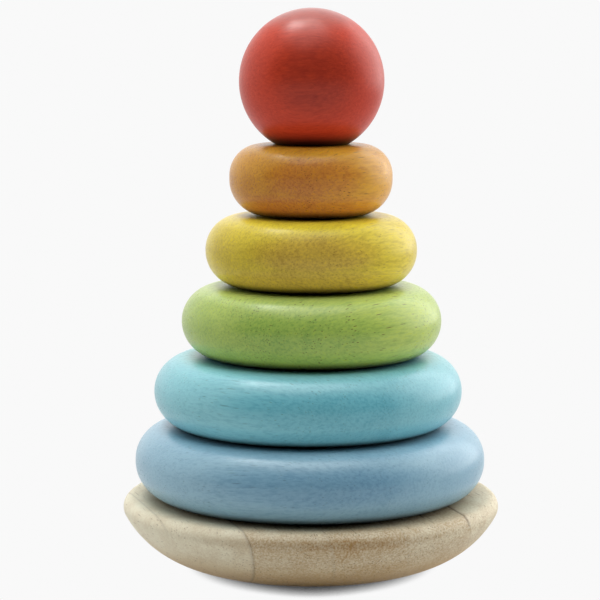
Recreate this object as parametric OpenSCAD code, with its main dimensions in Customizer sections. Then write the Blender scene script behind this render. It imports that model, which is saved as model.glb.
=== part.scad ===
// Rainbow stacker: five bullnose rings and a ball, loose on a peg that is glued into a bowl-shaped base.
// Millimetres, +Z up. The origin is the centre of the flat foot that the base stands on.

/* [Base] */
// Largest diameter of the base, at the middle of its rounded rim
base_d = 120; // [118:1:140]
// Height of the base, from the foot to the seat of the lowest ring
base_h = 21.5; // [19:0.5:28]
// Radius of the rounded rim
rim_r = 3.4; // [2:0.1:5]
// Diameter of the flat foot
foot_d = 64; // [48:1:72]

/* [Peg] */
// Diameter of the peg
peg_d = 15; // [12:0.5:16]
// Depth of the glued socket in the base
socket_depth = 15; // [10:0.5:16]
// Gap all round the peg in its socket, which the glue fills
glue_gap = 0.1; // [0.05:0.05:0.2]
// Height that the peg stands above the top ring, inside the ball
peg_reach = 20; // [14:0.5:24]
// Radius of the rounded tip of the peg
tip_r = 5; // [3:0.5:6]
// Lead-in chamfer at the glued end of the peg
peg_chamfer = 0.8; // [0.4:0.1:1.5]

/* [Rings] */
// Height of every ring, and the diameter of a full bullnose side
ring_h = 22.4; // [19:0.1:24]
// Diameter of the bore through every ring
bore_d = 19; // [17.5:0.5:21]
// Radius of the softened edges of the bores
bore_edge_r = 1.2; // [0.5:0.1:1.5]
// Outer diameter of the blue ring
blue_d = 111.5; // [106:0.5:118]
// Outer diameter of the teal ring
teal_d = 98; // [92:0.5:104]
// Outer diameter of the green ring
green_d = 82.5; // [77:0.5:90]
// Outer diameter of the yellow ring
yellow_d = 67; // [62:0.5:75]
// Outer diameter of the orange ring
orange_d = 51.5; // [50:0.5:60]

/* [Ball] */
// Diameter of the ball
ball_d = 45.7; // [44:0.1:52]
// Diameter of the flat that the ball rests on
flat_d = 23; // [23:0.5:30]
// Diameter of the blind bore in the ball
ball_bore_d = 17; // [16.5:0.5:19]
// Room between the tip of the peg and the end of the ball's bore
headroom = 4; // [1:0.5:6]

/* [Hidden] */
$fn = 180;

// Each loose piece rests a little to one side of the peg, as a share of its play, rings from blue up
rest_shift_shares = [-0.15, -0.45, 0.1, 0.05, 0];
ball_shift_share = 0.2;
// How much tighter a ring's upper edge is than a full bullnose, as a share of its radius, rings from blue up
shoulder_shares = [0.06, 0, 0, 0.03, 0.13];
ring_diameters = [blue_d, teal_d, green_d, yellow_d, orange_d];
ring_count = len(ring_diameters);
ring_play = (bore_d - peg_d) / 2;

// Base: the bowl's arc leaves the foot level and meets the rim's arc smoothly
base_r = base_d / 2;
foot_r = foot_d / 2;
rim_centre = [base_r - rim_r, base_h - rim_r];
bowl_run = rim_centre.x - foot_r;
bowl_r = (bowl_run ^ 2 + rim_centre.y ^ 2 - rim_r ^ 2) / (2 * (rim_centre.y - rim_r));
bowl_centre = [foot_r, bowl_r];
meet_angle = atan2(rim_centre.y - bowl_r, bowl_run);
meet_z = bowl_r + bowl_r * sin(meet_angle);

// Peg: it stands on the floor of its socket and ends inside the ball
socket_d = peg_d + 2 * glue_gap;
socket_floor = base_h - socket_depth;
stack_top = base_h + ring_count * ring_h;
peg_l = stack_top + peg_reach - socket_floor;

// Rings and ball
nose_r = ring_h / 2;
ball_r = ball_d / 2;
ball_centre_h = sqrt(ball_r ^ 2 - (flat_d / 2) ^ 2);
ball_bore_depth = peg_reach + headroom;
ball_play = (ball_bore_d - peg_d) / 2;

// What a rounded corner of radius r takes off a square corner at the origin, with the stock towards +X +Y
module corner_waste(r) {
    difference() {
        square(r);
        translate([r, r]) circle(r);
    }
}

// Half outline of the base: a square blank, less what is turned off under the bowl and round the rim
module base_outline() {
    difference() {
        square([base_r, base_h]);
        difference() {
            translate([foot_r, 0]) square([base_r - foot_r, meet_z]);
            translate(bowl_centre) circle(bowl_r);
        }
        difference() {
            translate([rim_centre.x, meet_z]) square([rim_r, base_h - meet_z]);
            translate(rim_centre) circle(rim_r);
        }
    }
}

// Upper half of a ring's side: a square of half the ring's height, with its outer corner rounded to radius r
module side_half(r) {
    difference() {
        square(nose_r);
        translate([nose_r, nose_r]) rotate(180) corner_waste(r);
    }
}

// Half outline of a ring: flat faces, a bullnose side with its own shoulder, and soft edges at the bore
module ring_outline(outer_r, shoulder_r) {
    bore_r = bore_d / 2;
    flat_end = outer_r - nose_r;
    difference() {
        union() {
            translate([bore_r, 0]) square([flat_end - bore_r, ring_h]);
            translate([flat_end, nose_r]) side_half(shoulder_r);
            translate([flat_end, nose_r]) mirror([0, 1]) side_half(nose_r);
        }
        translate([bore_r, 0]) corner_waste(bore_edge_r);
        translate([bore_r, ring_h]) mirror([0, 1]) corner_waste(bore_edge_r);
    }
}

// Half outline of the peg, from its chamfered glued end to its rounded tip
module peg_outline() {
    peg_r = peg_d / 2;
    difference() {
        polygon([
            [0, 0],
            [peg_r - peg_chamfer, 0],
            [peg_r, peg_chamfer],
            [peg_r, peg_l],
            [0, peg_l],
        ]);
        translate([peg_r, peg_l]) rotate(180) corner_waste(tip_r);
    }
}

// Half outline of the ball: a sphere with a flat under it and a blind bore up from the flat
module ball_outline() {
    bore_r = ball_bore_d / 2;
    difference() {
        intersection() {
            translate([0, ball_centre_h]) circle(ball_r);
            square([ball_r, ball_centre_h + ball_r]);
        }
        square([bore_r, ball_bore_depth]);
        translate([bore_r, 0]) corner_waste(bore_edge_r);
    }
}

// One ring where it rests in the stack, counted from 0 at the bottom
module ring(place) {
    translate([ring_play * rest_shift_shares[place], 0, base_h + place * ring_h])
        rotate_extrude() ring_outline(ring_diameters[place] / 2, nose_r * (1 - shoulder_shares[place]));
}

module base() {
    color("#d6c6a2") difference() {
        rotate_extrude() base_outline();
        translate([0, 0, socket_floor]) cylinder(h = base_h, d = socket_d);
    }
}

module peg() {
    color("#dccba6") translate([0, 0, socket_floor]) rotate_extrude() peg_outline();
}

module ring_blue() {
    color("#80abc9") ring(0);
}

module ring_teal() {
    color("#75b9c6") ring(1);
}

module ring_green() {
    color("#9dbb5c") ring(2);
}

module ring_yellow() {
    color("#d9c350") ring(3);
}

module ring_orange() {
    color("#cf8f43") ring(4);
}

module ball_red() {
    color("#b53f31") translate([ball_play * ball_shift_share, 0, stack_top]) rotate_extrude() ball_outline();
}

base();
peg();
ring_blue();
ring_teal();
ring_green();
ring_yellow();
ring_orange();
ball_red();
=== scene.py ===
# %% [markdown]
# # A rainbow stacker, turned and stained
# Five wooden rings and a ball stand loose on a peg, and the peg is glued into a bowl-shaped base. A packed
# CAD model holds the sizes and the joints. It is loaded first, and it stays as it is. This file gives it
# its looks: each piece is turned again as a clean mesh, as on a lathe, finished as stained wood, and lit in
# a white studio.

# %% Load the frame
import math

import bmesh
import bpy
from mathutils import Color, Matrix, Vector


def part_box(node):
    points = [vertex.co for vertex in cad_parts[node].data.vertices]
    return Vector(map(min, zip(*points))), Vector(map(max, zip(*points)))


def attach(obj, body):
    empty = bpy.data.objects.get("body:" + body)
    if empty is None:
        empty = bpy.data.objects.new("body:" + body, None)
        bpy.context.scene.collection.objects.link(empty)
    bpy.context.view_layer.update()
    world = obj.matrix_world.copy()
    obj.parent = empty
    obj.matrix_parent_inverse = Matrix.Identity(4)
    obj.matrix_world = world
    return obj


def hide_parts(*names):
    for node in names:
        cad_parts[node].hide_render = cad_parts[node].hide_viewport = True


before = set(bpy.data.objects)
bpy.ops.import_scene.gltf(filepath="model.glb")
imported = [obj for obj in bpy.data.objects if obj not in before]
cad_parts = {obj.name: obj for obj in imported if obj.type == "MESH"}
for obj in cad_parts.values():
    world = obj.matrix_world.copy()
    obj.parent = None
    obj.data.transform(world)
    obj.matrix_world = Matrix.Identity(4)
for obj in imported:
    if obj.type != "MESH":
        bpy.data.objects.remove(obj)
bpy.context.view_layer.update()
bpy.ops.object.select_all(action="DESELECT")

# %% [markdown]
# ## The camera
# The place, tilt and focal length were found by matching the outlines of the base, the rings and the ball
# in the photograph. A long lens from a little above the ball keeps the rings' ellipses flat. Blender gives
# the lens in millimetres on a sensor 36 mm wide, so the focal length in pixels is scaled by the width of
# the picture.

# %% Camera
MM = 0.001
CAMERA_PLACE = Vector((-3.46, -718.75, 179.35)) * MM
CAMERA_PITCH = math.radians(7.562)
FOCAL_PIXELS = 2281.5
PICTURE_PIXELS = 600
SENSOR_MM = 36

bpy.ops.object.camera_add(location=CAMERA_PLACE, rotation=(math.pi / 2 - CAMERA_PITCH, 0, 0))
camera = bpy.context.active_object
camera.name = "camera"
camera.data.sensor_width = SENSOR_MM
camera.data.lens = FOCAL_PIXELS / PICTURE_PIXELS * SENSOR_MM
bpy.context.scene.camera = camera
print(f"lens {camera.data.lens:.1f} mm")

# %% [markdown]
# ## A lathe made of edit-mode tools
# Every piece of this toy is turned, so its shape is one half outline carried round an axis. Spin does that
# in one step. The helpers here add a flat blank, round its corners with Bevel, as a turner rounds them with
# a gouge, and spin its edge. They select points by their place, because an operator acts on all that is
# selected.

# %% Lathe helpers
TURN_STEPS = 192
SMOOTH_ANGLE = math.radians(30)
SLACK = MM / 100
DOUBLES = MM / 1000


def name_piece(name):
    """Names the piece that was just added."""
    piece = bpy.context.active_object
    piece.name = piece.data.name = name
    return piece


def section_blank(name, inner, outer, bottom, top):
    """Adds a flat rectangle to the right of the axis: half of a section through the blank."""
    bpy.ops.object.select_all(action="DESELECT")
    middle = ((inner + outer) / 2, 0, (bottom + top) / 2)
    bpy.ops.mesh.primitive_plane_add(size=1, location=middle, rotation=(math.pi / 2, 0, 0))
    piece = name_piece(name)
    piece.scale = (outer - inner, top - bottom, 1)
    bpy.ops.object.transform_apply(location=True, rotation=True, scale=True)
    return piece


def select_points(piece, wanted):
    """Selects, in edit mode, the points for which wanted is true of their place."""
    mesh = bmesh.from_edit_mesh(piece.data)
    for point in mesh.verts:
        point.select_set(wanted(point.co))
    mesh.select_flush(True)
    bmesh.update_edit_mesh(piece.data)


def round_corners(piece, wanted, radius, steps):
    """Rounds corners of a flat section to a radius."""
    bpy.ops.object.mode_set(mode="EDIT")
    bpy.ops.mesh.select_mode(type="VERT")
    bpy.ops.mesh.select_all(action="DESELECT")
    select_points(piece, wanted)
    bpy.ops.mesh.bevel(offset=radius, segments=steps, affect="VERTICES", clamp_overlap=False)
    bpy.ops.object.mode_set(mode="OBJECT")


def turn(piece, axis_x=0.0):
    """Spins the section's edge once round a vertical axis, and closes and smooths the result."""
    bpy.ops.object.mode_set(mode="EDIT")
    bpy.ops.mesh.select_all(action="SELECT")
    if piece.data.total_face_sel:
        bpy.ops.mesh.delete(type="ONLY_FACE")
        bpy.ops.mesh.select_all(action="SELECT")
    bpy.ops.mesh.remove_doubles(threshold=DOUBLES)
    bpy.ops.mesh.spin(steps=TURN_STEPS, angle=2 * math.pi, center=(axis_x, 0, 0), axis=(0, 0, 1))
    finish_mesh()


def finish_mesh():
    """Merges doubles, points the faces outwards, and leaves edit mode with smooth shading."""
    bpy.ops.mesh.select_all(action="SELECT")
    bpy.ops.mesh.remove_doubles(threshold=DOUBLES)
    bpy.ops.mesh.normals_make_consistent(inside=False)
    bpy.ops.mesh.select_all(action="DESELECT")
    bpy.ops.object.mode_set(mode="OBJECT")
    bpy.ops.object.shade_smooth_by_angle(angle=SMOOTH_ANGLE)


def dress(piece, node, body):
    """Puts a finished piece in place of its CAD node, on the node's body."""
    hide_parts(node)
    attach(piece, body)
    print(f"{piece.name}: {len(piece.data.polygons)} faces, for {node} on {body}")


print("a turn has", TURN_STEPS, "steps")

# %% [markdown]
# ## The rings
# A ring is a flat disc with a bore and a bullnose side: its two outer corners are rounded until their arcs
# meet. Bevel does it on the blank's outer corners with half the ring's height as the radius. On three rings
# the upper corner is rounded a little tighter, which leaves a firmer shoulder. A smaller bevel softens the
# bore's edges. The place, height and width of each ring come from the CAD box of its node. A hair's
# breadth is left under it, so that it and the piece below have no faces in one plane.

# %% Rings
BORE_R = 9.5 * MM
BORE_EDGE_R = 1.2 * MM
REST_GAP = 0.01 * MM
NOSE_STEPS = 28
EDGE_STEPS = 5
SHOULDER_SHARES = {"blue": 0.06, "teal": 0, "green": 0, "yellow": 0.03, "orange": 0.13}


def turn_ring(colour):
    """Turns the ring of one colour where it rests in the stack."""
    low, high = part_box("ring_" + colour)
    axis_x = (low.x + high.x) / 2
    bore_x = axis_x + BORE_R
    bottom = low.z + REST_GAP
    nose_r = (high.z - bottom) / 2
    shoulder_r = nose_r * (1 - SHOULDER_SHARES[colour])
    ring = section_blank("turned_ring_" + colour, bore_x, high.x, bottom, high.z)

    def at_lower_corner(place):
        return place.x > high.x - SLACK and place.z < bottom + SLACK

    def at_upper_corner(place):
        return place.x > high.x - SLACK and place.z > high.z - SLACK

    round_corners(ring, at_lower_corner, nose_r, NOSE_STEPS)
    round_corners(ring, at_upper_corner, shoulder_r, NOSE_STEPS)
    round_corners(ring, lambda place: place.x < bore_x + BORE_EDGE_R, BORE_EDGE_R, EDGE_STEPS)
    turn(ring, axis_x)
    return ring


pieces = {}
for colour in SHOULDER_SHARES:
    pieces[colour] = turn_ring(colour)
    dress(pieces[colour], "ring_" + colour, colour + "_ring")

# %% [markdown]
# ## The ball
# The ball is a sphere with a flat under it, so that it sits still, and a blind bore up from the flat for
# the end of the peg. Bisect cuts the flat and fills it with one face. Inset draws the bore's mouth on that
# face, Extrude sinks the bore, and Bevel softens the mouth. Bisect would snap a cut to points up to a tenth
# of a millimetre away, so it is given a smaller threshold.

# %% Ball
BALL_BORE_R = 8.5 * MM
BALL_BORE_DEPTH = 24 * MM
BALL_RINGS = 96


def select_rim(piece, axis_x, radius, height):
    """Selects, in edit mode, the edges of a level circle round a vertical axis."""

    def on_rim(place):
        return abs(place.z - height) < SLACK and abs(math.hypot(place.x - axis_x, place.y) - radius) < SLACK

    select_points(piece, on_rim)


ball_low, ball_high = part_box("ball_red")
ball_x = (ball_low.x + ball_high.x) / 2
ball_r = (ball_high.x - ball_low.x) / 2
ball_bottom = ball_low.z + REST_GAP
bpy.ops.object.select_all(action="DESELECT")
bpy.ops.mesh.primitive_uv_sphere_add(
    segments=TURN_STEPS,
    ring_count=BALL_RINGS,
    radius=ball_r,
    location=(ball_x, 0, ball_high.z - ball_r),
)
ball = name_piece("turned_ball")
bpy.ops.object.transform_apply(location=True)
bpy.ops.object.mode_set(mode="EDIT")
bpy.ops.mesh.select_mode(type="VERT")
bpy.ops.mesh.select_all(action="SELECT")
bpy.ops.mesh.bisect(
    plane_co=(0, 0, ball_bottom),
    plane_no=(0, 0, 1),
    use_fill=True,
    clear_inner=True,
    threshold=DOUBLES,
)
flat_r = math.sqrt(ball_r**2 - (ball_high.z - ball_r - ball_bottom) ** 2)
bpy.ops.mesh.select_all(action="DESELECT")
select_rim(ball, ball_x, flat_r, ball_bottom)
bpy.ops.mesh.inset(thickness=flat_r - BALL_BORE_R)
bpy.ops.mesh.extrude_region_move(TRANSFORM_OT_translate={"value": (0, 0, BALL_BORE_DEPTH)})
bpy.ops.mesh.select_all(action="DESELECT")
select_rim(ball, ball_x, BALL_BORE_R, ball_bottom)
bpy.ops.mesh.bevel(offset=BORE_EDGE_R, segments=EDGE_STEPS, affect="EDGES")
finish_mesh()
pieces["red"] = ball
dress(ball, "ball_red", "red_ball")

# %% [markdown]
# ## The peg
# The peg is a plain dowel. Its upper end is well rounded, so that a ring finds its way on, and its glued
# end has a small chamfer. A cylinder is a fair start, and one bevel at each end makes both.

# %% Peg
TIP_R = 5 * MM
TIP_STEPS = 12
PEG_CHAMFER = 0.8 * MM

peg_low, peg_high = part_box("peg")
peg_r = (peg_high.x - peg_low.x) / 2
bpy.ops.object.select_all(action="DESELECT")
bpy.ops.mesh.primitive_cylinder_add(
    vertices=TURN_STEPS,
    radius=peg_r,
    depth=peg_high.z - peg_low.z,
    location=(0, 0, (peg_low.z + peg_high.z) / 2),
)
peg = name_piece("turned_peg")
bpy.ops.object.transform_apply(location=True)
bpy.ops.object.mode_set(mode="EDIT")
bpy.ops.mesh.select_mode(type="EDGE")
bpy.ops.mesh.select_all(action="DESELECT")
select_rim(peg, 0, peg_r, peg_high.z)
bpy.ops.mesh.bevel(offset=TIP_R, segments=TIP_STEPS, affect="EDGES")
bpy.ops.mesh.select_all(action="DESELECT")
select_rim(peg, 0, peg_r, peg_low.z)
bpy.ops.mesh.bevel(offset=PEG_CHAMFER, segments=1, affect="EDGES")
finish_mesh()
pieces["peg"] = peg
dress(peg, "peg", "stand")

# %% [markdown]
# ## The base
# The base is a shallow bowl, turned upside down: a flat foot, one arc that leaves the foot level, a smaller
# arc round the rim, a flat seat for the rings, and a blind socket for the peg. No corner here is a square
# one, so the half outline is drawn with a pen instead: a single point is extruded for a straight stroke and
# spun about the centre of an arc for a round one.

# %% Base
RIM_R = 3.4 * MM
FOOT_R = 32 * MM
SOCKET_R = 7.6 * MM
BOWL_STEPS = 32
RIM_STEPS = 24


def pen_down(name, x, z):
    """Starts a half outline: a small plane is merged to one point, which moves to its start."""
    bpy.ops.object.select_all(action="DESELECT")
    bpy.ops.mesh.primitive_plane_add(size=MM)
    piece = name_piece(name)
    bpy.ops.object.mode_set(mode="EDIT")
    bpy.ops.mesh.select_mode(type="VERT")
    bpy.ops.mesh.select_all(action="SELECT")
    bpy.ops.mesh.merge(type="CENTER")
    bpy.ops.transform.translate(value=(x, 0, z))
    return piece


def stroke(x, z):
    """Draws a straight stroke, given as how far it goes to the right and up."""
    bpy.ops.mesh.extrude_region_move(TRANSFORM_OT_translate={"value": (x, 0, z)})


def arc(centre_x, centre_z, angle, steps):
    """Draws a round stroke about a centre, anticlockwise as seen from the front."""
    bpy.ops.mesh.spin(steps=steps, angle=angle, center=(centre_x, 0, centre_z), axis=(0, 1, 0))


base_low, base_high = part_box("base")
base_r = (base_high.x - base_low.x) / 2
base_h = base_high.z
socket_floor = peg_low.z
rim_x = base_r - RIM_R
rim_z = base_h - RIM_R
bowl_run = rim_x - FOOT_R
bowl_r = (bowl_run**2 + rim_z**2 - RIM_R**2) / (2 * (rim_z - RIM_R))
meet_angle = math.atan2(rim_z - bowl_r, bowl_run)

base = pen_down("turned_base", 0, 0)
stroke(FOOT_R, 0)
arc(FOOT_R, bowl_r, meet_angle + math.pi / 2, BOWL_STEPS)
arc(rim_x, rim_z, math.pi / 2 - meet_angle, RIM_STEPS)
stroke(SOCKET_R - rim_x, 0)
stroke(0, socket_floor - base_h)
stroke(-SOCKET_R, 0)
bpy.ops.object.mode_set(mode="OBJECT")
turn(base)
pieces["base"] = base
dress(base, "base", "stand")

# %% [markdown]
# ## Helpers for node trees
# A finish is a tree of small nodes. By hand they are added and wired one by one in the shader editor. Each
# helper here does one such step in a line: a value that is a socket is wired in, and any other value is
# typed in.

# %% Node helpers


def add(tree, kind, values=None, **settings):
    """Adds a node. A value that is a socket is linked, and any other is set on the socket."""
    node = tree.nodes.new("ShaderNode" + kind)
    for name, setting in settings.items():
        setattr(node, name, setting)
    for socket, value in (values or {}).items():
        if isinstance(value, bpy.types.NodeSocket):
            tree.links.new(value, node.inputs[socket])
        else:
            node.inputs[socket].default_value = value
    return node


def maths(tree, operation, *values):
    """Adds a Math node on values or sockets, and returns its result."""
    return add(tree, "Math", dict(enumerate(values)), operation=operation).outputs[0]


def weighted_sum(tree, *parts):
    """Adds up values, each times its own weight."""
    total = 0
    for value, weight in parts:
        total = maths(tree, "MULTIPLY_ADD", value, weight, total)
    return total


def ranged(tree, value, low, high, to_low, to_high, kind="LINEAR"):
    """Maps a value from one range to another, without leaving the second."""
    values = {"Value": value, "From Min": low, "From Max": high, "To Min": to_low, "To Max": to_high}
    return add(tree, "MapRange", values, interpolation_type=kind).outputs["Result"]


def between(tree, share, first, second):
    """Mixes two values."""
    return add(tree, "Mix", {0: share, 2: first, 3: second}, data_type="FLOAT").outputs[0]


def mix(tree, share, first, second, kind="MIX"):
    """Mixes two colours or colour sockets."""
    node = add(tree, "Mix", {0: share, 6: first, 7: second}, data_type="RGBA", blend_type=kind)
    return node.outputs[2]


def swatch(red, green, blue):
    """A colour as a screen shows it, from 0 to 255, in the linear values that shaders use."""
    shown = Color((red, green, blue)) / 255
    return (*shown.from_srgb_to_scene_linear(), 1)


def new_material(name):
    """Adds a node material with nothing in it, and returns it with its tree."""
    material = bpy.data.materials.new(name)
    material.use_nodes = True
    material.node_tree.nodes.clear()
    return material, material.node_tree


print("a mid grey of 128 is", round(swatch(128, 128, 128)[0], 3), "in linear light")

# %% [markdown]
# ## Wood grain, shared by every finish
# All the pieces are one pale hardwood. Its pores are fine tubes that run along the grain: cut across they
# show as dots, cut along as short dashes. A solid pattern gives both by itself, where a flat image would
# not. So the group below works in grain space, in millimetres, with X along the grain. A cell pattern drawn
# out along X makes the pores. Noise, drawn out by different amounts, makes the fibres and their flecks, the
# low ridges that the finish follows, and the broad figure.

# %% Grain group
PORE_RUN = 16
PORE_RADII = (0.12, 0.34)
PORE_CORE = 0.35
PATCHES = {"scale": 0.07, "detail": 1}
PATCH_CONTRAST = (0.35, 0.65)
PATCH_SHARES = (0.6, 1.2)
FIBRES = {"run": 30, "scale": 1.5, "detail": 3, "roughness": 0.7}
FLECKS = {"run": 3.5, "scale": 1.3, "detail": 2, "roughness": 0.7}
FLECK_SHARE = 0.5
FIBRE_CONTRAST = (0.33, 0.67)
RIDGES = {"run": 9, "scale": 1.1, "detail": 1}
FIGURE = {"run": 6, "scale": 0.08, "detail": 3, "roughness": 0.55, "distortion": 0.6}
FIGURE_CONTRAST = (0.3, 0.7)
GRAIN_INPUTS = {"Place": "Vector", "Facing": "Vector", "Pore Spacing": "Float", "Pore Share": "Float"}
GRAIN_OUTPUTS = ("Pores", "Fibre", "Relief", "Figure", "End Grain")


def noise(tree, place, scale, **values):
    """A noise pattern, with its scale in grains to the unit that the place is given in."""
    values = {name.title(): value for name, value in values.items()}
    return add(tree, "TexNoise", {"Vector": place, "Scale": scale, **values}).outputs["Fac"]


def drawn_out(tree, place, run):
    """Draws a pattern out along the grain."""
    values = {0: place, 1: (1 / run, 1, 1)}
    return add(tree, "VectorMath", values, operation="MULTIPLY").outputs["Vector"]


def streaks(tree, place, run, **values):
    """A noise pattern that is drawn out along the grain."""
    return noise(tree, drawn_out(tree, place, run), **values)


def pore_mask(tree, given):
    """Pores: one slender cell each, of its own size, and fewer in some patches than in others."""
    place = drawn_out(tree, given["Place"], PORE_RUN)
    cells_per_mm = maths(tree, "DIVIDE", 1, given["Pore Spacing"])
    cells = add(tree, "TexVoronoi", {"Vector": place, "Scale": cells_per_mm}, feature="F1").outputs
    chance = add(tree, "SeparateColor", {0: cells["Color"]}).outputs
    radius = ranged(tree, chance["Red"], 0, 1, *PORE_RADII)
    core = maths(tree, "MULTIPLY", radius, PORE_CORE)
    pores = ranged(tree, cells["Distance"], radius, core, 0, 1, "SMOOTHSTEP")
    patchy = ranged(tree, noise(tree, given["Place"], **PATCHES), *PATCH_CONTRAST, *PATCH_SHARES)
    share = maths(tree, "MULTIPLY", given["Pore Share"], patchy)
    there = maths(tree, "LESS_THAN", chance["Green"], share)
    return maths(tree, "MULTIPLY", pores, there)


def grain_group():
    """Builds the grain: its pores, fibres, relief and figure, and where end grain shows."""
    group = bpy.data.node_groups.new("wood_grain", "ShaderNodeTree")
    for name, kind in GRAIN_INPUTS.items():
        group.interface.new_socket(name, in_out="INPUT", socket_type="NodeSocket" + kind)
    for name in GRAIN_OUTPUTS:
        group.interface.new_socket(name, in_out="OUTPUT", socket_type="NodeSocketFloat")
    given = group.nodes.new("NodeGroupInput").outputs
    place = given["Place"]
    pores = pore_mask(group, given)
    fibre = between(group, FLECK_SHARE, streaks(group, place, **FIBRES), streaks(group, place, **FLECKS))
    ridges = streaks(group, place, **RIDGES)
    figure = streaks(group, place, **FIGURE)
    along = add(group, "SeparateXYZ", {0: given["Facing"]}).outputs["X"]
    results = {
        "Pores": pores,
        "Fibre": ranged(group, fibre, *FIBRE_CONTRAST, 0, 1),
        "Relief": maths(group, "SUBTRACT", ridges, pores),
        "Figure": ranged(group, figure, *FIGURE_CONTRAST, 0, 1),
        "End Grain": maths(group, "MULTIPLY", along, along),
    }
    result = group.nodes.new("NodeGroupOutput")
    for name, value in results.items():
        group.links.new(value, result.inputs[name])
    return group


wood_grain = grain_group()
print("grain group:", len(wood_grain.nodes), "nodes")

# %% [markdown]
# ## A satin surface, and masks for where a tone or painted light or shade changes
# A finish starts from the grain and ends in a satin surface: the fibres vary its roughness, and the ridges
# and pores break up its highlights a little. Both take their values from the finish's look, a table of
# named values: how the grain is turned, in degrees about Y and Z, a seed that moves it, so that no two
# pieces show the same figure, the pores' spacing in millimetres, the share of the cells that hold one, and
# how rough, glossy and uneven the surface is. Two masks say where a tone, or a painted light or shade,
# changes. One goes by the way that the surface faces, and the other by its height. Both read the piece's
# own coordinates, so they stay on the wood when a ring is lifted.

# %% Satin and masks
RELIEF_DEPTH = 0.1 * MM
VARNISH_ROUGHNESS = 0.3


def grain_of(tree, look):
    """Places the grain group, turned and moved to its own stretch of the wood."""
    where = add(tree, "TexCoord").outputs
    turned = (0, *(math.radians(angle) for angle in look["grain_turn"]))
    in_mm = {"Scale": (1 / MM, 1 / MM, 1 / MM), "Location": look["seed"]}
    place = add(tree, "Mapping", {"Vector": where["Object"], "Rotation": turned, **in_mm})
    facing = add(tree, "Mapping", {"Vector": where["Normal"], "Rotation": turned}, vector_type="VECTOR")
    grain = add(tree, "Group", node_tree=wood_grain)
    tree.links.new(place.outputs[0], grain.inputs["Place"])
    tree.links.new(facing.outputs[0], grain.inputs["Facing"])
    grain.inputs["Pore Spacing"].default_value = look["pore_spacing"]
    grain.inputs["Pore Share"].default_value = look["pore_share"]
    return grain.outputs


def satin(tree, colour, grain, look, varnish=0):
    """Ends a wood material: a satin surface that the fibres and pores roughen and break up."""
    relief = {"Height": grain["Relief"], "Strength": look["relief"], "Distance": RELIEF_DEPTH}
    surface = {
        "Base Color": colour,
        "Roughness": ranged(tree, grain["Fibre"], 0, 1, *look["rough"]),
        "Normal": add(tree, "Bump", relief).outputs[0],
        "Specular IOR Level": look["specular"],
        "Coat Weight": varnish,
        "Coat Roughness": VARNISH_ROUGHNESS,
    }
    shader = add(tree, "BsdfPrincipled", surface)
    add(tree, "OutputMaterial", {"Surface": shader.outputs[0]})


def facing_share(tree, way, low, high):
    """How far the surface faces a way: zero up to one cosine, and one from another."""
    normal = add(tree, "TexCoord").outputs["Normal"]
    cosine = add(tree, "VectorMath", {0: normal, 1: way}, operation="DOT_PRODUCT").outputs["Value"]
    return ranged(tree, cosine, low, high, 0, 1, "SMOOTHSTEP")


def height_share(tree, low, high, to_low, to_high):
    """A value that changes from one height of the toy to another."""
    place = add(tree, "TexCoord").outputs["Object"]
    height = add(tree, "SeparateXYZ", {0: place}).outputs["Z"]
    return ranged(tree, height, low, high, to_low, to_high, "SMOOTHSTEP")


print(f"relief {RELIEF_DEPTH / MM} mm deep, before each finish scales it")

# %% [markdown]
# ## Stain
# The colour on the rings and the ball is a thin stain under a satin varnish. It lets the wood through: end
# grain drinks more of it and is darker, the fibres streak it, and the pores stay dark. Shade is painted at
# the front of each piece, where the tone is deeper, and as far as the look says under it. Light is painted
# on the top of each ring and shade on the top of the ball, and the top has more varnish on it. Painted shade
# darkens the lower edge round the flat that it rests on. Each of these is one mix over the last. Where it
# goes is a direction, with the two cosines between which its mask rises.

# %% Stain finish
# Directions of the painted shade at the front and under each piece, of the painted light or shade on its
# top, and of the flat that the painted edge shade keeps off
FRONT_SHADE_WAY = ((0.05, -0.98, 0.15), 0.72, 0.98)
UNDER_SHADE_WAY = ((0, -0.6, -0.8), 0.6, 0.95)
TOP_LIGHTING_WAY = ((0, -0.2, 0.98), 0.75, 0.97)
FLAT = ((0, 0, -1), 0.985, 1.0)
END_GRAIN_DEPTH = 0.4
FIGURE_DEPTH = 0.35
FIBRE_DEPTH = 0.9
DEPTH_RANGE = (0.3, 1.3)
FRONT_SHADE_SHARES = (0.5, 1)
# The painted shade on the lower edge of each piece: its tone and strength
CREVICE_SHADE_TONE = (44, 34, 26)
CREVICE_SHADE_SHARE = 0.95


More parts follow.
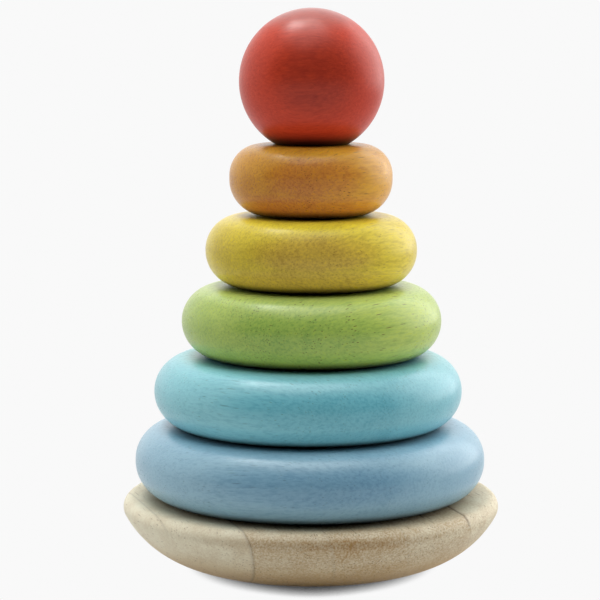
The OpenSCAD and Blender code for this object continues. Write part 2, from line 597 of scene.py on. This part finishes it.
def stain(name, node, look):
    """A stained finish between a thin and a deep tone, with painted shade and light, for the piece that
    stands for a CAD node.
    """
    material, tree = new_material(name)
    grain = grain_of(tree, look)
    depth = weighted_sum(
        tree,
        (grain["End Grain"], END_GRAIN_DEPTH),
        (grain["Figure"], FIGURE_DEPTH),
        (grain["Fibre"], FIBRE_DEPTH),
    )
    tone = mix(tree, ranged(tree, depth, *DEPTH_RANGE, 0, 1), swatch(*look["thin"]), swatch(*look["deep"]))

    # Painted shade at the front, and as far as the look says under it
    under = maths(tree, "MULTIPLY", facing_share(tree, *UNDER_SHADE_WAY), look["under"])
    front = maths(tree, "MAXIMUM", facing_share(tree, *FRONT_SHADE_WAY), under)
    painted_front_shade = maths(tree, "MULTIPLY", front, ranged(tree, depth, 0, 1, *FRONT_SHADE_SHARES))
    tone = mix(tree, painted_front_shade, tone, (*look["painted_front_shade"], 1), "MULTIPLY")

    # Painted light on a ring's top and painted shade on the ball's, the pores, and painted shade on the
    # lower edge
    # Painted light on the tops of the rings and painted shade on the top of the ball; the same mask puts
    # more varnish there
    top_lighting_and_varnish = facing_share(tree, *TOP_LIGHTING_WAY)
    tone = mix(tree, top_lighting_and_varnish, tone, (*look["top_lighting_and_varnish"], 1), "MULTIPLY")
    pores = maths(tree, "MULTIPLY", grain["Pores"], look["pore_depth"])
    tone = mix(tree, pores, tone, swatch(*look["pore"]))
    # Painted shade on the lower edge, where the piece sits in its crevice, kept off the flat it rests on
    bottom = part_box(node)[0].z
    crevice_shade = height_share(tree, bottom, bottom + look["crevice_shade_rise"] * MM, CREVICE_SHADE_SHARE, 0)
    off_flat = maths(tree, "SUBTRACT", 1, facing_share(tree, *FLAT))
    tone = mix(tree, maths(tree, "MULTIPLY", crevice_shade, off_flat), tone, swatch(*CREVICE_SHADE_TONE))
    satin(tree, tone, grain, look, maths(tree, "MULTIPLY", top_lighting_and_varnish, look["varnish"]))
    return material


# The painted front shade rises within this angle of the front
print("the stain gathers within", round(math.degrees(math.acos(FRONT_SHADE_WAY[1]))), "degrees of the front")

# %% [markdown]
# ## The tones of each piece
# Thin and deep are the stain's two tones, as a screen shows them. The painted front shade and the painted
# top lighting multiply them, so they have no unit. The pores have a tone and a depth of their own. The
# painted shade on the lower edge rises by so many millimetres.

# %% Stain materials
RING_LOOK = {"rough": (0.25, 0.34), "relief": 0.35, "varnish": 0.2}
STAINS = {
    "blue": {
        **RING_LOOK,
        "specular": 0.42,
        "thin": (155, 194, 210),
        "deep": (121, 162, 184),
        "painted_front_shade": (0.72, 0.83, 0.92),
        "under": 0.3,
        "top_lighting_and_varnish": (1.0, 1.05, 1.08),
        "pore": (80, 106, 122),
        "pore_depth": 0.5,
        "pore_spacing": 0.55,
        "pore_share": 0.7,
        "grain_turn": (3, 20),
        "seed": (11, 4, 7),
        "crevice_shade_rise": 3.8,
    },
    "teal": {
        **RING_LOOK,
        "specular": 0.42,
        "thin": (143, 207, 215),
        "deep": (106, 175, 188),
        "painted_front_shade": (0.68, 0.9, 0.96),
        "under": 0.3,
        "top_lighting_and_varnish": (1.08, 1.12, 1.15),
        "pore": (80, 116, 112),
        "pore_depth": 0.55,
        "pore_spacing": 0.55,
        "pore_share": 0.7,
        "grain_turn": (-3, 29),
        "seed": (40, 9, 3),
        "crevice_shade_rise": 2.9,
    },
    "green": {
        **RING_LOOK,
        "specular": 0.37,
        "thin": (189, 207, 97),
        "deep": (137, 168, 77),
        "painted_front_shade": (0.92, 1.02, 1.06),
        "under": 0.5,
        "top_lighting_and_varnish": (1.15, 1.18, 1.5),
        "pore": (98, 86, 44),
        "pore_depth": 0.9,
        "pore_spacing": 0.65,
        "pore_share": 0.95,
        "grain_turn": (4, -40),
        "seed": (71, 2, 8),
        "crevice_shade_rise": 3.8,
    },
    "yellow": {
        **RING_LOOK,
        "specular": 0.22,
        "thin": (237, 215, 61),
        "deep": (187, 163, 42),
        "painted_front_shade": (0.93, 0.8, 1.9),
        "under": 1,
        "top_lighting_and_varnish": (1.12, 1.16, 1.3),
        "pore": (138, 104, 42),
        "pore_depth": 0.65,
        "pore_spacing": 0.55,
        "pore_share": 0.9,
        "grain_turn": (-2, -52),
        "seed": (5, 31, 6),
        "crevice_shade_rise": 3.4,
    },
    "orange": {
        **RING_LOOK,
        "specular": 0.28,
        "thin": (224, 166, 46),
        "deep": (179, 115, 33),
        "painted_front_shade": (0.98, 0.77, 1.8),
        "under": 1,
        "top_lighting_and_varnish": (1.1, 1.2, 1.5),
        "pore": (108, 64, 26),
        "pore_depth": 0.8,
        "pore_spacing": 0.55,
        "pore_share": 0.95,
        "grain_turn": (2, -46),
        "seed": (23, 17, 2),
        "crevice_shade_rise": 3.4,
    },
    "red": {
        "thin": (206, 66, 36),
        "deep": (180, 47, 22),
        "painted_front_shade": (0.68, 0.8, 1.2),
        "under": 0.1,
        "top_lighting_and_varnish": (0.72, 0.8, 0.8),
        "pore": (118, 26, 13),
        "pore_depth": 0.4,
        "pore_spacing": 0.6,
        "pore_share": 0.7,
        "grain_turn": (4, 8),
        "seed": (60, 8, 12),
        "rough": (0.3, 0.38),
        "specular": 0.24,
        "relief": 0.15,
        "varnish": 0.75,
        "crevice_shade_rise": 5.0,
    },
}
for colour, look in STAINS.items():
    node = "ball_red" if colour == "red" else "ring_" + colour
    pieces[colour].data.materials.clear()
    pieces[colour].data.materials.append(stain(colour + "_stain", node, look))
print("stains:", ", ".join(STAINS))

# %% [markdown]
# ## Staves
# The base was glued up from narrow staves before it was turned, so its tone steps at each joint, and a fine
# brown line shows there, stronger in some places on the bowl and in others on the seat. The joints are
# parallel planes that lean a little. One number, the distance across the staves, drives both: a ramp with
# constant steps gives the tones, and a second ramp with narrow peaks gives the lines, in red for the bowl
# and in green for the seat.

# %% Staves
STAVE_NORMAL = Vector((0.91, 0.29, 0.295)).normalized()
STAVE_SPAN = 140
RAMP_MIDDLE = 0.5
STAVE_JOINTS = (-46.4, -28.0, -6.8, 16.0, 39.5)
STAVE_TONES = (0.1, 0.17, 0.52, 0.66, 0.58, 0.42)
BOWL_LINES = (0.03, 0.42, 0.18, 0.08, 0.06)
SEAT_LINES = (0.3, 0.5, 0.2, 0.2, 0.95)
JOINT_HALF = 0.5
SEAT_FADE = (4 * MM, 1 * MM)


def across_share(across):
    """A distance across the staves, in millimetres, as a share of the ramps' length."""
    return across / STAVE_SPAN + RAMP_MIDDLE


def fill_ramp(ramp, kind, stops):
    """Gives a ramp its stops, each a place and two levels, in red and in green."""
    ramp.interpolation = kind
    while len(ramp.elements) < len(stops):
        ramp.elements.new(1)
    for element, (place, red, green) in zip(ramp.elements, stops):
        element.position = place
        element.color = (red, green, 0, 1)


def stave_levels(tree, where):
    """How dark each stave is, and how strong the line is at each joint."""
    across = add(tree, "VectorMath", {0: where, 1: STAVE_NORMAL / MM}, operation="DOT_PRODUCT")
    share = maths(tree, "ADD", maths(tree, "DIVIDE", across.outputs["Value"], STAVE_SPAN), RAMP_MIDDLE)
    steps = add(tree, "ValToRGB", {0: share})
    starts = (-STAVE_SPAN / 2, *STAVE_JOINTS)
    fill_ramp(steps.color_ramp, "CONSTANT", [(across_share(s), t, t) for s, t in zip(starts, STAVE_TONES)])
    stave = add(tree, "SeparateColor", {0: steps.outputs["Color"]}).outputs["Red"]
    lines = add(tree, "ValToRGB", {0: share})
    peaks = []
    for joint, on_bowl, on_seat in zip(STAVE_JOINTS, BOWL_LINES, SEAT_LINES):
        peaks.append((across_share(joint - JOINT_HALF), 0, 0))
        peaks.append((across_share(joint), on_bowl, on_seat))
        peaks.append((across_share(joint + JOINT_HALF), 0, 0))
    fill_ramp(lines.color_ramp, "LINEAR", peaks)
    level = add(tree, "SeparateColor", {0: lines.outputs["Color"]}).outputs
    below_seat, at_seat = SEAT_FADE
    on_seat = height_share(tree, base_h - below_seat, base_h - at_seat, 0, 1)
    return stave, between(tree, on_seat, level["Red"], level["Green"])


# %% [markdown]
# ## Natural wood
# The base and the peg have a clear finish. The staves run towards the viewer, so the front of the base is
# end grain, mottled and full of dots, most of all on the darker staves. A little shade is painted on the
# faces towards the front, the rim most of all, and a warm bounce light is painted towards the foot. The peg
# has its grain along it.

# %% Natural wood materials
STAVE_LIE = math.degrees(math.atan2(STAVE_NORMAL.y, STAVE_NORMAL.x))
BASE_LOOK = {
    "grain_turn": (0, 90 - STAVE_LIE),
    "seed": (3, 50, 20),
    "pore_spacing": 0.75,
    "pore_share": 1.1,
    "rough": (0.48, 0.6),
    "specular": 0.25,
    "relief": 0.3,
}
PALE = (230, 223, 197)
BROWN = (168, 132, 82)
TONE_RANGE = (0.2, 1.5)
# Painted warm bounce light towards the foot: its tone, how high it reaches, and its strength
BOUNCE_LIGHT_TONE = (206, 164, 90)
BOUNCE_LIGHT_RISE = 14 * MM
BOUNCE_LIGHT_SHARE = 0.85
DOT_TONE = (112, 82, 50)
DOT_DEPTHS = (0.3, 0.75)
LINE_TONE = (86, 54, 38)
BLOTCHES = {"scale": 0.13 / MM, "detail": 4, "roughness": 0.6}
BLOTCH_CONTRAST = (0.35, 0.65)
SPECKS = {"scale": 1.5 / MM, "detail": 2, "roughness": 0.8}
SPECK_CONTRAST = (0.38, 0.62)
STAVE_WEIGHT = 0.58
BLOTCH_WEIGHT = 0.32
SPECK_WEIGHTS = (0.15, 0.62)
# Painted shade on the faces of the base that turn towards the front
FRONT_SHADE_WEIGHT = 0.36
FRONT_SHADE_FACING = ((0, -1, 0), 0.7, 1.0)
DARKEST_STAVE = 0.65
PEG_LOOK = {
    "grain_turn": (90, 0),
    "seed": (9, 80, 4),
    "pore_spacing": 0.8,
    "pore_share": 0.7,
    "rough": (0.4, 0.52),
    "specular": 0.4,
    "relief": 0.25,
}
PEG_PALE = (226, 208, 172)
PEG_BROWN = (204, 178, 136)
PEG_FIGURE_WEIGHT = 0.5
PEG_FIBRE_WEIGHT = 0.4
PEG_PORE_TONE = (140, 108, 70)
PEG_PORE_DEPTH = 0.55


def natural_base():
    """Clear-finished staves, with their joints, mottled, with painted shade on the faces towards the front
    and painted warm bounce light towards the foot.
    """
    material, tree = new_material("natural_staves")
    grain = grain_of(tree, BASE_LOOK)
    where = add(tree, "TexCoord").outputs["Object"]
    stave, line = stave_levels(tree, where)
    tone = weighted_sum(
        tree,
        (stave, STAVE_WEIGHT),
        (ranged(tree, noise(tree, where, **BLOTCHES), *BLOTCH_CONTRAST, 0, 1), BLOTCH_WEIGHT),
        (
            ranged(tree, noise(tree, where, **SPECKS), *SPECK_CONTRAST, 0, 1),
            ranged(tree, stave, 0, DARKEST_STAVE, *SPECK_WEIGHTS),
        ),
        # Painted shade on the faces towards the front
        (facing_share(tree, *FRONT_SHADE_FACING), FRONT_SHADE_WEIGHT),
    )
    colour = mix(tree, ranged(tree, tone, *TONE_RANGE, 0, 1), swatch(*PALE), swatch(*BROWN))
    # Painted warm bounce light towards the foot
    colour = mix(tree, height_share(tree, 0, BOUNCE_LIGHT_RISE, BOUNCE_LIGHT_SHARE, 0), colour, swatch(*BOUNCE_LIGHT_TONE))
    dots = maths(tree, "MULTIPLY", grain["Pores"], ranged(tree, stave, 0, DARKEST_STAVE, *DOT_DEPTHS))
    colour = mix(tree, dots, colour, swatch(*DOT_TONE))
    colour = mix(tree, line, colour, swatch(*LINE_TONE))
    satin(tree, colour, grain, BASE_LOOK)
    return material


def natural_peg():
    """A clear-finished dowel, with its grain along it."""
    material, tree = new_material("natural_dowel")
    grain = grain_of(tree, PEG_LOOK)
    tone = weighted_sum(tree, (grain["Figure"], PEG_FIGURE_WEIGHT), (grain["Fibre"], PEG_FIBRE_WEIGHT))
    colour = mix(tree, tone, swatch(*PEG_PALE), swatch(*PEG_BROWN))
    pores = maths(tree, "MULTIPLY", grain["Pores"], PEG_PORE_DEPTH)
    colour = mix(tree, pores, colour, swatch(*PEG_PORE_TONE))
    satin(tree, colour, grain, PEG_LOOK)
    return material


for piece, finish in ((base, natural_base()), (peg, natural_peg())):
    piece.data.materials.clear()
    piece.data.materials.append(finish)
    print(piece.name, "has", finish.name)

# %% [markdown]
# ## Floor
# The toy stands on white paper. To the light it is a plain diffuse sheet. To the camera and in reflections
# it is an even white, so that no edge of it shows, which darkens only close under the base. An Ambient
# Occlusion node tells how open a place is. Two of them look low to the left and low to the right, and the
# more open side counts, so the shadow stays short, as under lamps on both sides. From below the paper can't
# be seen.

# %% Floor
WHITE = 0.947
PAPER = 0.72
FLOOR_SIZE = 8
FLOOR_DROP = 0.02 * MM
SHADOW_REACH = 12 * MM
SHADOW_SIDES = ((-0.8, 0.5, 0.3), (0.8, 0.5, 0.3))
SHADOW_OPENINGS = (0.39, 0.57)
SHADOW_LEVEL = 0.03
SHADOW_SAMPLES = 48


def seen_directly(tree):
    """One for a ray from the camera or through glass, and zero for other light, with the ray itself."""
    ray = add(tree, "LightPath").outputs
    seen = maths(tree, "MAXIMUM", ray["Is Camera Ray"], ray["Is Transmission Ray"])
    return seen, ray


bpy.ops.object.select_all(action="DESELECT")
bpy.ops.mesh.primitive_plane_add(size=FLOOR_SIZE, location=(0, 0, -FLOOR_DROP))
floor = name_piece("floor")
paper, tree = new_material("white_paper")
seen, ray = seen_directly(tree)
seen = maths(tree, "MAXIMUM", seen, ray["Is Glossy Ray"])
openings = []
for side in SHADOW_SIDES:
    way = add(tree, "CombineXYZ", dict(enumerate(side))).outputs[0]
    look_out = {"Distance": SHADOW_REACH, "Normal": way}
    opening = add(tree, "AmbientOcclusion", look_out, samples=SHADOW_SAMPLES)
    openings.append(opening.outputs["AO"])
level = ranged(tree, maths(tree, "MAXIMUM", *openings), *SHADOW_OPENINGS, SHADOW_LEVEL, WHITE)
glow = add(tree, "Emission", {"Color": level})
sheet = add(tree, "BsdfDiffuse", {"Color": (PAPER, PAPER, PAPER, 1)})
above = add(tree, "MixShader", {0: seen, 1: sheet.outputs[0], 2: glow.outputs[0]})
below = add(tree, "BsdfTransparent")
back = add(tree, "NewGeometry").outputs["Backfacing"]
both = add(tree, "MixShader", {0: back, 1: above.outputs[0], 2: below.outputs[0]})
add(tree, "OutputMaterial", {"Surface": both.outputs[0]})
floor.data.materials.append(paper)
print("floor:", FLOOR_SIZE, "m across")

# %% [markdown]
# ## Studio light
# The room is bright behind, at the sides and overhead, and dark towards the camera, which is why each piece
# is darkest at the middle of its front. A world that goes from black to white along Y gives that. Three
# lamps do the rest: a softbox overhead, a smaller lamp beside it for the bright place on each shoulder, and
# a large softbox behind on the right.

# %% World and lamps
WALL_LEVEL = 1.15
WALL_FADE = (-0.45, -0.05)
CEILING_FADE = (0.75, 0.95)
LAMP_AIM = Vector((0, 0, 90)) * MM
LAMPS = {
    "overhead_softbox": {"way": (-0.1, -0.06, 1.0), "distance": 1.0, "size": (0.8, 0.8), "power": 4.6},
    "overhead_lamp": {"way": (-0.28, 0.23, 0.93), "distance": 1.0, "size": (0.26, 0.26), "power": 1.6},
    "right_softbox": {"way": (0.8, 0.45, 0.36), "distance": 1.1, "size": (1.1, 1.0), "power": 6.6},
}

studio = bpy.data.worlds.new("studio")
studio.use_nodes = True
studio.node_tree.nodes.clear()
bpy.context.scene.world = studio
tree = studio.node_tree
seen, ray = seen_directly(tree)
way = add(tree, "SeparateXYZ", {0: add(tree, "TexCoord").outputs["Generated"]}).outputs
walls = ranged(tree, way["Y"], *WALL_FADE, 0, WALL_LEVEL, "SMOOTHSTEP")
ceiling = ranged(tree, way["Z"], *CEILING_FADE, 0, WALL_LEVEL)
shown = between(tree, seen, maths(tree, "MAXIMUM", walls, ceiling), WHITE)
sky = add(tree, "Background", {"Color": (1, 1, 1, 1), "Strength": shown})
add(tree, "OutputWorld", {"Surface": sky.outputs[0]})


def softbox(name, way, distance, size, power):
    """Adds an area lamp that lies in a direction from the toy and faces it."""
    place = LAMP_AIM + Vector(way).normalized() * distance
    aimed = (place - LAMP_AIM).to_track_quat("Z", "Y").to_euler()
    bpy.ops.object.light_add(type="AREA", location=place, rotation=aimed)
    lamp = bpy.context.active_object
    lamp.name = lamp.data.name = name
    lamp.data.shape = "RECTANGLE"
    lamp.data.size, lamp.data.size_y = size
    lamp.data.energy = power
    print(f"{name}: {power} W at {place.x:.2f} {place.y:.2f} {place.z:.2f} m")


for name, lamp in LAMPS.items():
    softbox(name, **lamp)
bpy.context.scene.view_settings.view_transform = "Standard"
